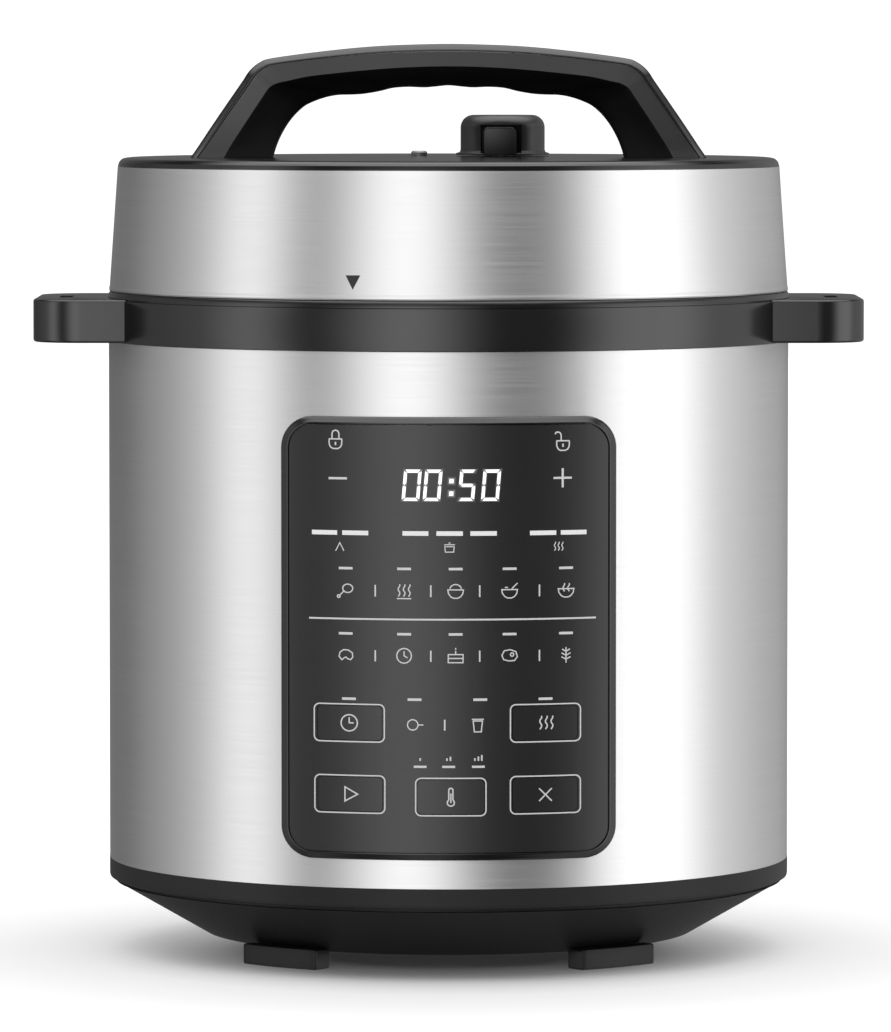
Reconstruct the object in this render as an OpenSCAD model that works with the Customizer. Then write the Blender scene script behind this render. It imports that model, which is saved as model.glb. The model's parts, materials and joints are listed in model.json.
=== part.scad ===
// Six-quart electric pressure cooker with a bayonet lid.
// Millimetres. +Z is up, the front is towards -Y, and the origin is on the
// standing plane, on the axis of the pot.

/* [Body] */
// Outer radius of the steel housing
body_r = 132.5; // [132.3:0.1:132.7]
// Bottom edge of the steel housing
body_z0 = 35.2; // [35:0.1:35.4]
// Top edge of the steel housing
body_z1 = 236.7; // [236.5:0.1:236.8]
// Sheet thickness of the steel housing
body_t = 0.8; // [0.6:0.1:1]
// Height of the underside of the base above the worktop
foot_h = 5.3; // [5:0.1:5.5]
// Height of each foot's outer block
foot_top = 7.8; // [7:0.1:8.2]
// Length of each foot, around the base
foot_len = 36; // [30:1:44]
// Distance from the axis to the outer face of a foot
foot_r = 105.5; // [104:0.5:106]

/* [Collar and side handles] */
// Outer radius of the collar ring
collar_r = 133.2; // [133:0.1:133.4]
// Top of the collar ring
collar_z1 = 255.9; // [255.5:0.1:255.9]
// Distance from the axis to the tip of a side handle
ear_tip = 160.6; // [158:0.1:166]
// Width of a side handle, front to back
ear_w = 94; // [88:1:100]
// Corner radius of a side handle, seen from above
ear_corner = 19; // [8:1:22]

/* [Pot] */
// Outer radius of the removable inner pot
pot_r = 111; // [110:0.5:111.5]
// Wall thickness of the removable inner pot
pot_t = 1.2; // [0.8:0.1:1.5]
// Underside of the removable inner pot
pot_z0 = 80; // [80:0.1:80.3]

/* [Lid] */
// Bottom edge of the steel lid band
band_z0 = 256; // [256:0.1:256.4]
// Top edge of the steel lid band
band_z1 = 304.3; // [304:0.1:304.3]
// Radius of the lid band at its bottom edge
band_r0 = 132.2; // [132:0.1:132.4]
// Radius of the lid band at its top edge
band_r1 = 128.9; // [128.8:0.1:129.2]
// Flat top of the lid cover
lid_top = 307.8; // [307.6:0.1:308]
// Number of bayonet lugs
lug_n = 6; // [5:1:6]
// Angle covered by each bayonet lug
lug_a = 24; // [18:1:24]

/* [Lid fittings] */
// Sideways position of the steam release knob
knob_x = 21.4; // [20:0.1:23]
// Distance of the knob and the float valve behind the axis
valve_y = 45; // [44:0.5:46]
// Radius of the steam release knob
knob_r = 16.65; // [15:0.05:17]
// Top of the steam release knob
knob_top = 324; // [322:0.5:325]
// Sideways position of the float valve
float_x = -11.6; // [-12.5:0.1:-11]
// Radius of the visible float pin
float_r = 3.2; // [2.5:0.1:3.4]

/* [Lid handle] */
// Top of the lid handle at its middle
handle_top = 351.9; // [350:0.1:353]
// Half the front-to-back depth of the lid handle at the front crease
handle_half = 18; // [15:0.5:20]
// Thickness of the handle's top cover
cover_t = 3; // [2.2:0.1:3.4]

/* [Control panel] */
// Half the width of the panel frame, measured straight across
panel_x = 63; // [61:0.5:64]
// Bottom edge of the panel frame
panel_z0 = 46.1; // [46:0.1:48]
// Top edge of the panel frame
panel_z1 = 212.5; // [211:0.1:214]
// Corner radius of the panel frame
panel_c = 12; // [8:0.5:12]
// Width of the panel frame's rim
rim_w = 3; // [2.8:0.1:3.6]
// Radius of the panel's front sheet
sheet_r = 134.2; // [134:0.1:134.3]
// Width of a framed key
key_w = 25.2; // [24:0.1:25.4]
// Height of a framed key
key_h = 12.8; // [12:0.1:13]
// Gap around a framed key
key_gap = 0.2; // [0.15:0.05:0.25]

/* [Rear fittings] */
// Width of the condensation cup
cup_w = 58; // [50:1:62]
// Depth of the condensation cup, front to back
cup_d = 24; // [20:1:26]
// Height of the condensation cup
cup_h = 40; // [34:1:42]
// Height of the mains inlet's centre above the standing plane
inlet_z = 51; // [50.5:0.5:52]

/* [Hidden] */
$fn = 96;
e = 0.01;
body_ri = body_r - body_t;
key_list = [[-37.3, 97.6], [36.3, 97.6], [-37.1, 70.8], [0.8, 70.1], [36.3, 70.6]];
post_az = [30, 150, 270];
screw_az = [15, 75, 135, 195, 255, 315];

// ---------- shared shapes ----------

// A straight tube standing on z0.
module tube(ro, ri, z0, z1) {
  rotate_extrude() {
    translate([ri, z0]) square([ro - ri, z1 - z0]);
  }
}

// A solid of revolution from an (r, z) outline.
module turned(pts) {
  rotate_extrude() {
    polygon(pts);
  }
}

// A standing cylinder between two heights.
module rod(x, y, r, z0, z1) {
  translate([x, y, z0]) cylinder(h = z1 - z0, r = r);
}

// A block between two opposite corners.
module block(a, b) {
  translate(a) cube([b[0] - a[0], b[1] - a[1], b[2] - a[2]]);
}

// A flat rectangle with round corners.
module round_rect(w, h, r) {
  square([w - 2 * r, h], center = true);
  square([w, h - 2 * r], center = true);
  for (sx = [-1, 1], sz = [-1, 1]) {
    translate([sx * (w / 2 - r), sz * (h / 2 - r)]) circle(r = r, $fn = 32);
  }
}

// A round-cornered prism that runs along Y from y0 to y1.
module prism_y(x, z, w, h, r, y0, y1) {
  translate([x, y1, z]) rotate([90, 0, 0]) {
    linear_extrude(height = y1 - y0) round_rect(w, h, r);
  }
}

// A pie slice, centred on azimuth a and half_a degrees to each side.
module slice(a, half_a, r, z0, z1) {
  translate([0, 0, z0]) rotate([0, 0, a]) linear_extrude(height = z1 - z0) {
    polygon([[0, 0], [r, -r * tan(half_a)], [r, r * tan(half_a)]]);
  }
}

// A ring of bayonet lugs.
module lugs(ri, ro, z0, z1) {
  for (i = [0:lug_n - 1]) {
    intersection() {
      tube(ro, ri, z0, z1);
      slice(i * 360 / lug_n, lug_a / 2, ro + 20, z0 - 1, z1 + 1);
    }
  }
}

// A closed skin through a list of equal-sized point loops.
module loft(loops) {
  n = len(loops[0]);
  m = len(loops);
  pts = [for (l = loops) each l];
  sides = [for (i = [0:m - 2], j = [0:n - 1])
    let (a = i * n + j, b = i * n + (j + 1) % n)
    each [[a, b, b + n], [a, b + n, a + n]]];
  caps = [[for (j = [n - 1:-1:0]) j], [for (j = [0:n - 1]) (m - 1) * n + j]];
  polyhedron(points = pts, faces = concat(sides, caps), convexity = 6);
}

// Azimuth of a panel key, turned from straight ahead.
function key_az(k) = asin(k[0] / sheet_r);

// A prism for a key, square to the panel where the key sits.
module key_prism(k, grow) {
  rotate([0, 0, key_az(k)]) {
    prism_y(0, k[1], key_w + 2 * grow, key_h + 2 * grow, 1.8 + grow, -140, -120);
  }
}

// ---------- base ----------

foot_az = [51.5, 128.5, 231.5, 308.5];
base_outline = [[0, foot_h], [91.5, foot_h], [95.3, 6.2], [129.4, 25.9], [130.2, 26.1]];

module base_cover() {
  color([0.13, 0.13, 0.14]) difference() {
    union() {
      turned(concat(base_outline, [[126.4, 26.1], [95.5, 8.3], [91.5, 7.7], [0, 7.7]]));
      for (x = [-80, -28], y = [-36, 16]) rod(x, y, 3.4, 7.6, 22);
      for (a = post_az) rotate([0, 0, a]) rod(80, 0, 7, 7.6, 14);
    }
    // cooling slots through the floor
    for (sx = [-1, 1], i = [-4:4]) {
      translate([sx * 36, i * 6, 8]) cube([34, 2.6, 8], center = true);
    }
    for (a = post_az) rotate([0, 0, a]) {
      rod(80, 0, 2.2, 4, 15);
      rod(80, 0, 4.4, 4, 11);
    }
  }
}

module rubber_feet() {
  color([0.1, 0.1, 0.1]) difference() {
    for (a = foot_az) rotate([0, 0, a]) {
      intersection() {
        tube(foot_r, foot_r - 8.5, 0, foot_top);
        block([80, -foot_len / 2, -1], [120, foot_len / 2, 20]);
      }
      // the neck that sits under the base
      intersection() {
        tube(foot_r - 7, foot_r - 13, 1.5, foot_top - 0.1);
        block([80, -12, -1], [120, 12, 20]);
      }
    }
    turned(concat(base_outline, [[130.2, 40], [0, 40]]));
  }
}

module base_ring() {
  color([0.15, 0.15, 0.16]) turned([[129.2, 27.5], [131.6, 27.5], [132.4, 27.9],
    [132.6, 28.8], [132.6, body_z0], [131.4, body_z0], [131.4, 39], [128.6, 39], [128.6, 33], [122, 33], [122, 30.6],
    [126, 30.6], [126, 26.2], [129.2, 26.2]]);
}

module outer_housing() {
  color([0.78, 0.79, 0.8]) difference() {
    tube(body_r, body_ri, body_z0, body_z1);
    prism_y(0, 130, 112, 152, 5, -150, -90);
    block([-14, 100, inlet_z - 11], [14, 150, inlet_z + 11]);
  }
}

// ---------- collar, outer pot ----------

module ear_blank(sx) {
  translate([sx * 0, 0, 237]) linear_extrude(height = 16.5) {
    translate([sx * (ear_tip / 2 + 50), 0]) {
      round_rect(ear_tip - 100, ear_w, ear_corner);
    }
  }
}

module collar() {
  color([0.22, 0.22, 0.23]) {
    difference() {
      union() {
        turned([[120, 236.7], [128.4, 236.7], [128.4, 228], [131.4, 228],
          [131.4, 236.7], [collar_r, 236.7], [collar_r, 252.7], [133, 253],
          [132.2, 253.1], [132.2, 253.6], [132.9, 253.7], [132.4, 255.4], [131.8, collar_z1], [127.6, collar_z1], [127.6, 239.2], [120, 239.2]]);
        difference() {
          union() {
            ear_blank(-1);
            ear_blank(1);
          }
          translate([0, 0, 200]) cylinder(h = 100, r = 130);
          // finger grip under each side handle
          for (sx = [-1, 1]) {
            block([sx * 148 - 8.5, -38, 230], [sx * 148 + 8.5, 38, 247]);
          }
        }
      }
      // slots that park the lid on its edge
      for (sx = [-1, 1]) {
        block([sx * 149 - 2.5, -12, 243], [sx * 149 + 2.5, 12, 260]);
      }
      for (a = screw_az) rotate([0, 0, a]) rod(121.8, 0, 1.5, 230, 239.3);
    }
  }
}

module outer_pot() {
  color([0.7, 0.71, 0.72]) difference() {
    turned([[40, 62], [110, 62], [114.2, 66.2], [114.2, 245.5], [113, 245.5],
      [113, 66.7], [109.5, 63.5], [40, 63.5]]);
    for (a = [90, 210, 330]) rotate([0, 0, a]) rod(55, 0, 6.5, 60, 65);
    for (a = post_az) rotate([0, 0, a]) rod(80, 0, 2.2, 60, 65);
    for (a = [-8, 8]) rotate([0, 0, a + 150]) rod(68, 0, 4.2, 60, 65);
  }
}

module bayonet_ring() {
  color([0.72, 0.73, 0.74]) difference() {
    union() {
      turned([[114.2, 234.7], [123.8, 234.7], [123.8, 236.7], [115.6, 236.7],
        [115.6, 245.5], [119.2, 245.5], [119.2, 247.5], [113, 247.5], [113, 245.5],
        [114.2, 245.5]]);
      lugs(119.2, 123.5, 244.5, 247.5);
    }
    for (a = screw_az) rotate([0, 0, a]) rod(121.8, 0, 1.7, 230, 237);
  }
}

module collar_screws() {
  color([0.6, 0.6, 0.62]) for (a = screw_az) rotate([0, 0, a]) {
    rod(121.8, 0, 1.5, 232.8, 239.1);
    rod(121.8, 0, 2.9, 232.8, 234.7);
  }
}

// ---------- control panel ----------

module panel_bezel() {
  color([0.17, 0.17, 0.18]) {
    // the raised rim that frames the panel
    intersection() {
      tube(134.6, body_r, panel_z0 - 2, panel_z1 + 2);
      difference() {
        prism_y(0, (panel_z0 + panel_z1) / 2, 2 * panel_x, panel_z1 - panel_z0,
          panel_c, -140, -100);
        prism_y(0, (panel_z0 + panel_z1) / 2, 2 * (panel_x - rim_w),
          panel_z1 - panel_z0 - 2 * rim_w, panel_c - rim_w, -141, -99);
      }
    }
    // the wall behind it that passes through the housing and holds the board
    difference() {
      intersection() {
        prism_y(0, 130, 111, 151, 5, -140, -117);
        tube(133.1, 118, 50, 210);
      }
      prism_y(0, 130, 107, 147, 4, -141, -116);
    }
    intersection() {
      tube(133.1, body_r, panel_z0 + 1, panel_z1 - 1);
      difference() {
        prism_y(0, 130.05, 121, 160, 8, -140, -100);
        prism_y(0, 130, 107, 147, 4, -141, -99);
      }
    }
    for (sx = [-1, 1], z = [62, 198]) {
      block([sx * 50 - 4, -121.6, z - 3], [sx * 50 + 4, -119, z + 3]);
    }
  }
}

module panel_overlay() {
  color([0.2, 0.2, 0.21]) difference() {
    intersection() {
      tube(sheet_r, 133.2, panel_z0, panel_z1);
      prism_y(0, (panel_z0 + panel_z1) / 2, 2 * (panel_x - rim_w) - 0.2,
        panel_z1 - panel_z0 - 2 * rim_w - 0.2, panel_c - rim_w, -140, -100);
    }
    for (k = key_list) key_prism(k, key_gap);
  }
}

// A framed key: a curved cap and the stem that meets its switch.
module key_cap(k) {
  color([0.21, 0.21, 0.22]) {
    intersection() {
      tube(sheet_r, 132.7, k[1] - 12, k[1] + 12);
      key_prism(k, 0);
    }
    rotate([0, 0, key_az(k)]) {
      block([-1.2, -132.9, k[1] - 2], [1.2, -key_stem_y(k), k[1] + 2]);
    }
  }
}

// Radial distance at which a key's stem ends, just short of its switch.
function key_stem_y(k) = (126.6 + 1.2 * abs(sin(key_az(k)))) / cos(key_az(k));

module key_delay_start() key_cap(key_list[0]);
module key_keep_warm() key_cap(key_list[1]);
module key_start() key_cap(key_list[2]);
module key_temp_set() key_cap(key_list[3]);
module key_cancel() key_cap(key_list[4]);

module display_board() {
  color([0.1, 0.35, 0.2]) difference() {
    block([-46, -123.2, 58], [46, -121.6, 202]);
    for (sx = [-1, 1], z = [62, 198]) {
      translate([sx * 43, -110, z]) rotate([90, 0, 0]) cylinder(h = 20, r = 1.6);
    }
  }
}

module board_screws() {
  color([0.6, 0.6, 0.62]) for (sx = [-1, 1], z = [62, 198]) {
    translate([sx * 43, -121.6, z]) rotate([90, 0, 0]) cylinder(h = 4, r = 1.5);
    translate([sx * 43, -119.8, z]) rotate([90, 0, 0]) cylinder(h = 1.8, r = 2.8);
  }
}

module display_module() {
  color([0.08, 0.08, 0.09]) block([-23, -130.6, 177], [25, -123.2, 197]);
}

module status_leds() {
  color([0.9, 0.9, 0.85]) {
    for (x = [-44, -34.6, -12.4, 0.4, 13, 35, 44]) led(x, 169);
    for (x = [-38.6, -16.7, 2.6, 22.8, 43], z = [155.7, 131.2]) led(x, z);
    for (x = [-37.4, -12.8, 11.8, 36.3]) led(x, 109.4);
    for (x = [-10.7, 0, 11.1]) led(x, 82);
  }
}

module led(x, z) {
  block([x - 1.6, -124.3, z - 0.8], [x + 1.6, -123.2, z + 0.8]);
}

module tact_switches() {
  color([0.25, 0.25, 0.26]) for (k = key_list) {
    kx = 127.6 * tan(key_az(k));
    block([kx - 2.5, -126, k[1] - 2.5], [kx + 2.5, -123.2, k[1] + 2.5]);
  }
}

// ---------- electronics in the base ----------

module power_board() {
  color([0.15, 0.4, 0.25]) difference() {
    block([-88, -46, 22], [-22, 22, 23.6]);
    for (x = [-80, -28], y = [-36, 16]) rod(x, y, 1.6, 20, 26);
  }
}

module power_board_screws() {
  color([0.6, 0.6, 0.62]) for (x = [-80, -28], y = [-36, 16]) {
    rod(x, y, 1.5, 14, 23.6);
    rod(x, y, 2.8, 23.6, 25.4);
  }
}

module board_components() {
  color([0.3, 0.3, 0.32]) {
    block([-74, -42, 23.6], [-48, -18, 43]);
    block([-44, -30, 23.6], [-28, -15, 39]);
    block([-86, -14, 23.6], [-66, 6, 38]);
    rod(-52, -6, 6.3, 23.6, 43);
    rod(-36, -6, 5, 23.6, 40);
    block([-62, 8, 23.6], [-40, 15, 34]);
  }
}

module support_posts() {
  color([0.6, 0.61, 0.62]) difference() {
    for (a = post_az) rotate([0, 0, a]) rod(80, 0, 4.5, 14, 62);
    for (a = post_az) rotate([0, 0, a]) {
      rod(80, 0, 2, 13, 24);
      rod(80, 0, 2, 54, 63);
    }
  }
}

module base_screws() {
  color([0.55, 0.55, 0.57]) for (a = post_az) rotate([0, 0, a]) {
    rod(80, 0, 2, 11, 23);
    rod(80, 0, 4.1, 8.6, 11);
    rod(80, 0, 2, 55, 63.5);
    rod(80, 0, 3.8, 63.5, 65.3);
  }
}

// ---------- heater ----------

module heating_plate() {
  color([0.72, 0.72, 0.73]) difference() {
    union() {
      turned([[12, 68], [86, 68], [88, 70], [88, 78.2], [86.5, 79.7], [12, 79.7]]);
      for (a = [90, 210, 330]) rotate([0, 0, a]) rod(55, 0, 5, 58, 68.5);
    }
    // groove that takes the heating tube
    tube(72.5, 63.5, 60, 72.4);
    for (a = [90, 210, 330]) rotate([0, 0, a]) rod(55, 0, 1.8, 57, 66);
  }
}

module heating_tube() {
  color([0.5, 0.5, 0.52]) difference() {
    union() {
      rotate_extrude() translate([68, 68]) circle(r = 4, $fn = 48);
      for (a = [-8, 8]) rotate([0, 0, a + 150]) rod(68, 0, 2.4, 57, 68);
    }
    slice(150, 3.6, 120, 50, 90);
  }
}

module spring_plate() {
  color([0.66, 0.67, 0.68]) difference() {
    union() {
      tube(50, 30, 56.8, 58);
      for (a = [90, 210, 330]) rotate([0, 0, a]) {
        block([40, -9, 56.8], [62, 9, 58]);
      }
    }
    for (a = [90, 210, 330]) rotate([0, 0, a]) rod(55, 0, 2, 50, 60);
  }
}

module spring_plate_nuts() {
  color([0.6, 0.6, 0.62]) for (a = [90, 210, 330]) rotate([0, 0, a]) {
    rod(55, 0, 1.8, 52.5, 65);
    difference() {
      translate([55, 0, 53.6]) cylinder(h = 3.2, r = 4, $fn = 6);
      rod(55, 0, 1.7, 53, 57.5);
    }
  }
}

module pressure_switch() {
  color([0.24, 0.24, 0.25]) {
    block([-10, 34, 44], [10, 46, 55]);
    rod(0, 40, 2.5, 55, 56.8);
  }
}

module sensor_housing() {
  color([0.62, 0.63, 0.64]) difference() {
    turned([[4.4, 56], [13.6, 56], [13.6, 66.4], [18, 66.4], [18, 67.9], [12.4, 67.9],
      [12.4, 57.4], [4.4, 57.4]]);
    rod(15.8, 0, 1.2, 60, 70);
    rod(-15.8, 0, 1.2, 60, 70);
  }
}

module thermal_sensor() {
  color([0.78, 0.78, 0.79]) {
    turned([[0, 50], [3.6, 50], [3.6, 73.4], [11, 73.4], [11, 78.9], [10.2, 79.7],
      [0, 79.7]]);
  }
}

coil_turns = 5;

// Centre of the spring wire after a part t of its turns.
function coil_at(t, r, z0, z1) = [r * cos(360 * coil_turns * t),
  r * sin(360 * coil_turns * t), z0 + (z1 - z0) * t];

module sensor_spring() {
  color([0.6, 0.6, 0.62]) loft([for (i = [0:80])
    let (t = i / 80, c = coil_at(t, 8, 58.2, 72.6), a = 360 * coil_turns * t)
    [for (j = [0:5]) let (b = 60 * j)
      [c[0] + 0.7 * cos(b) * cos(a), c[1] + 0.7 * cos(b) * sin(a), c[2] + 0.7 * sin(b)]]]);
}

module thermal_fuse() {
  color([0.75, 0.75, 0.72]) {
    translate([20, 24, 65.8]) rotate([0, 90, 0]) cylinder(h = 14, r = 2);
    block([23, 23, 67], [31, 25, 68]);
  }
}

// ---------- mains inlet ----------

module power_inlet() {
  color([0.1, 0.1, 0.1]) difference() {
    union() {
      difference() {
        block([-17, 125, inlet_z - 14], [17, 135, inlet_z + 10.6]);
        cylinder(h = 120, r = body_r, $fn = 360);
      }
      block([-13.6, 112, inlet_z - 10.6], [13.6, 133.5, inlet_z + 10.4]);
    }
    block([-12.2, 114, inlet_z - 8.2], [12.2, 140, inlet_z + 8.2]);
  }
}

module inlet_pins() {
  color([0.8, 0.78, 0.7]) {
    for (x = [-7, 7]) block([x - 1, 106, inlet_z - 4], [x + 1, 131, inlet_z]);
    block([-1, 106, inlet_z], [1, 132, inlet_z + 4]);
  }
}

// ---------- condensation cup ----------

cup_y0 = 135;
cup_z0 = 184;

module cup_bracket() {
  color([0.2, 0.2, 0.21]) difference() {
    union() {
      block([-26, 120, cup_z0 + 4], [26, 134.7, cup_z0 + 44]);
      block([-26, 134, cup_z0 + 41], [26, 150, cup_z0 + 44]);
    }
    translate([0, 0, 100]) cylinder(h = 150, r = body_r, $fn = 360);
    rod(0, 144, 3, 200, 240);
  }
}

module condensation_cup() {
  color([0.5, 0.52, 0.54]) difference() {
    block([-cup_w / 2, cup_y0, cup_z0], [cup_w / 2, cup_y0 + cup_d, cup_z0 + cup_h]);
    block([-cup_w / 2 + 1.6, cup_y0 + 1.6, cup_z0 + 1.6],
      [cup_w / 2 - 1.6, cup_y0 + cup_d - 1.6, cup_z0 + cup_h + 1]);
  }
}

// ---------- pot ----------

module inner_pot() {
  ro = pot_r;
  ri = pot_r - pot_t;
  zi = pot_z0 + pot_t;
  outer = [for (a = [-90:15:0]) [ro - 9 + 9 * cos(a), pot_z0 + 9 + 9 * sin(a)]];
  inner = [for (a = [0:-15:-90]) [ri - 8 + 8 * cos(a), zi + 8 + 8 * sin(a)]];
  color([0.82, 0.82, 0.83]) turned(concat([[0, pot_z0]], outer,
    [[ro, 247.8], [118, 247.8], [118.6, 248.4], [118.6, 249.2], [118, 250],
    [ri + 0.8, 250], [ri, 249.2]], inner, [[0, zi]]));
}

// ---------- lid ----------

module sealing_ring() {
  color([0.86, 0.85, 0.82]) turned([[108, 250.4], [118, 250.4], [118.8, 251.4],
    [118.8, 257.3], [108, 257.3], [108, 255.4], [115.6, 255.4], [115.6, 252.6],
    [108, 252.6]]);
}

module lid_band() {
  color([0.78, 0.79, 0.8]) turned([[131.1, band_z0], [132.1, band_z0], [132.35, 256.5],
    [132.3, 257.2], [band_r0 - 0.1, 258], [band_r1, band_z1], [band_r1 - 1, band_z1],
    [band_r0 - 1.1, 258]]);
}

module lid_top_cover() {
  color([0.2, 0.2, 0.21]) difference() {
    union() {
      turned([[0, lid_top - 3], [123.5, lid_top - 3], [123.5, 263], [126, 263],
        [126, band_z1], [128.8, band_z1], [128.8, 304.7], [128.35, 306.1], [127.7, 306.9],
        [126.8, 307.45], [125.6, lid_top - 0.1], [124.6, lid_top], [0, lid_top]]);
      for (a = [30, 150, 270]) rotate([0, 0, a]) rod(92, 0, 4.5, 265.4, lid_top - 2.9);
    }
    for (a = [30, 150, 270]) rotate([0, 0, a]) rod(92, 0, 1.6, 260, 284);
    rod(knob_x, valve_y, 11.5, 300, 310);
    rod(float_x, valve_y, 4.1, 300, 310);
    for (sx = [-1, 1], y = [-9, 9]) rod(sx * 86, y, 2.1, 300, 310);
  }
}

dome = [[104, 257.6], [98, 261.6], [60, 265.6], [0, 267.6]];

module inner_lid() {
  color([0.8, 0.8, 0.81]) difference() {
    union() {
      turned([[0, 267.6], [60, 265.6], [98, 261.6], [104, 257.6], [124.5, 257.6],
        [124.5, 240.5], [126, 240.5], [126, 259.1], [104.5, 259.1], [98.5, 263.1],
        [60, 267.1], [0, 269.1]]);
      lugs(120.5, 124.6, 240.5, 243.5);
    }
    rod(knob_x, valve_y, 4.2, 255, 275);
    rod(float_x, valve_y, 3.6, 255, 275);
    for (a = [30, 150, 270]) rotate([0, 0, a]) rod(92, 0, 1.8, 255, 270);
  }
}

module lid_screws() {
  color([0.6, 0.6, 0.62]) for (a = [30, 150, 270]) rotate([0, 0, a]) {
    rod(92, 0, 1.6, 259.6, 283);
    rod(92, 0, 3.4, 259.2, 261.2);
  }
}

module ring_rack() {
  color([0.75, 0.75, 0.76]) {
    rotate_extrude() translate([105.8, 254.2]) circle(r = 1.2, $fn = 24);
    for (i = [0:7]) rotate([0, 0, 45 * i]) rod(105.8, 0, 1.1, 254.2, 257.6);
  }
}

module vent_pipe() {
  color([0.75, 0.75, 0.76]) translate([knob_x, valve_y, 0]) turned([[1.5, 262],
    [4, 262], [4, 269.2], [6.5, 269.2], [6.5, 271.4], [4, 271.4], [4, 312.6],
    [3, 313.8], [1.5, 313.8]]);
}

module vent_nut() {
  color([0.7, 0.7, 0.71]) difference() {
    translate([knob_x, valve_y, 262.2]) cylinder(h = 3.2, r = 6.5, $fn = 6);
    rod(knob_x, valve_y, 4, 255, 275);
  }
}

module anti_block_shield() {
  color([0.76, 0.76, 0.77]) difference() {
    translate([knob_x, valve_y, 0]) turned([[0, 254.4], [10, 254.4], [11.5, 255.9],
      [11.5, 265.3], [10.3, 265.3], [10.3, 255.9], [0, 255.7]]);
    for (i = [0:11]) translate([knob_x, valve_y, 259.4]) rotate([0, 0, 30 * i]) {
      translate([11, 0, 0]) cube([6, 2.2, 4], center = true);
    }
  }
}

module float_pin() {
  color([0.8, 0.8, 0.8]) translate([float_x, valve_y, 0]) turned([[0, 257], [6, 257],
    [6, 258.5], [float_r, 258.5], [float_r, 269.4], [5, 269.4], [5, 271],
    [float_r, 271], [float_r, 309.2], [float_r - 0.6, 309.8], [0, 309.8]]);
}

module float_gasket() {
  color([0.75, 0.3, 0.2]) translate([float_x, valve_y, 0]) {
    tube(6, float_r, 258.5, 260.9);
  }
}

module valve_weight() {
  color([0.7, 0.7, 0.71]) translate([knob_x, valve_y, 0]) turned([[4.3, 308.6],
    [8, 308.6], [8, 319.6], [0, 319.6], [0, 312.6], [1.1, 314.2], [4.3, 314.2]]);
}

module steam_release_knob() {
  color([0.14, 0.14, 0.15]) translate([knob_x, valve_y, 0]) difference() {
    union() {
      turned([[0, 308.2], [18.4, 308.2], [18.4, 309], [knob_r, 309.4],
        [knob_r, knob_top - 4], [knob_r - 0.8, knob_top - 1.8],
        [knob_r - 2.4, knob_top - 0.5], [knob_r - 4.4, knob_top], [0, knob_top]]);
      // finger tab that points towards the front when sealed
      intersection() {
        prism_y(0, 300, 15.5, 39, 3, -40, 0);
        difference() {
          rod(0, 0, 24, 308.2, 330);
          rod(0, 0, 10, 300, 340);
        }
      }
    }
    rod(0, 0, 8.25, 300, 319.9);
    rod(0, 0, 12, 300, 310);
  }
}

// ---------- lid handle ----------

// Outlines of the right half of the arch as (x, z), from the foot to the middle.
arch_outer = [[100, 307.8], [97.2, 312], [93.9, 317], [90.3, 322.4], [86.2, 328.4],
  [82, 334.5], [79.6, 338], [77.8, 340.8], [75.5, 343.2], [73, 344.9], [70, 346.1],
  [61, 347.5], [50, 348.9], [37, 350.3], [25, 351.2], [12, 351.7], [0, handle_top]];
arch_crease = [[91, 307.8], [88.6, 311.2], [85.6, 315.2], [82, 320], [78, 325.2],
  [74, 330.6], [71.6, 333.8], [70.2, 335.2], [68.4, 336.2], [66.2, 336.9], [63, 337.5],
  [55, 339.1], [45, 340.3], [34, 341.4], [23, 342.3], [11, 342.9], [0, 343.1]];
// The inner outline carries shallow finger waves.
arch_inner = [[68.5, 307.8], [67.4, 311.5], [65.8, 315.4], [63.5, 319.6], [60.9, 323.2],
  [58.2, 326], [55, 328.4], [49, 330.8], [43.5, 332], [38, 332.2], [33, 332.5],
  [27, 333.5], [21.5, 334.8], [15.5, 335.2], [9.5, 335], [4.5, 335.4], [0, 335.8]];
// Half depth of the arch at its crease, from the foot to the middle
arch_half = [24, 23, 22, 21, 20.2, 19.5, 19.1, 18.9, 18.7, 18.6, 18.5, 18.3, 18.1, 18,
  18, 18, 18];

function half_list(h, s) = [for (p = h) [s * p[0], p[1]]];
function flip(l) = [for (i = [len(l) - 1:-1:0]) l[i]];
function whole(h) = concat(half_list(h, -1), [for (i = [len(h) - 2:-1:0]) h[i]]);
function toward(p, q, d) = p + (q - p) * d / norm(q - p);

o_line = whole(arch_outer);
c_line = whole(arch_crease);
i_line = whole(arch_inner);
w_line = concat(arch_half, [for (i = [len(arch_half) - 2:-1:0]) arch_half[i]]);
g_line = [for (i = [0:len(o_line) - 1])
  (i == 0 || i == len(o_line) - 1)
    ? o_line[i] + [-sign(o_line[i][0]) * cover_t * 1.2, 0]
    : toward(o_line[i], i_line[i], cover_t)];

// One cross-section loop: pairs of an arch point and a half depth.
function ring_of(rows) = concat([for (r = rows) [r[0][0], -r[1], r[0][1]]],
  [for (r = flip(rows)) [r[0][0], r[1], r[0][1]]]);

module handle_cover() {
  color([0.2, 0.2, 0.21]) loft([for (i = [0:len(o_line) - 1])
    let (w = w_line[i] * handle_half / 18, m = (o_line[i] + g_line[i]) / 2)
    ring_of([[o_line[i], w - 4.5], [m, w - 1.6], [g_line[i], w - 0.7]])]);
}

module handle_grip() {
  color([0.17, 0.17, 0.18]) loft([for (i = [0:len(o_line) - 1])
    let (w = w_line[i] * handle_half / 18)
    ring_of([[g_line[i], w - 0.7], [c_line[i], w],
      [i_line[i] * 0.75 + c_line[i] * 0.25, w - 5.5], [i_line[i], w - 10]])]);
}

module handle_screws() {
  color([0.6, 0.6, 0.62]) for (sx = [-1, 1], y = [-9, 9]) {
    rod(sx * 86, y, 2, 302.8, 314);
    rod(sx * 86, y, 3.6, 302.8, lid_top - 3);
  }
}

// ---------- internal wiring ----------

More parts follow.
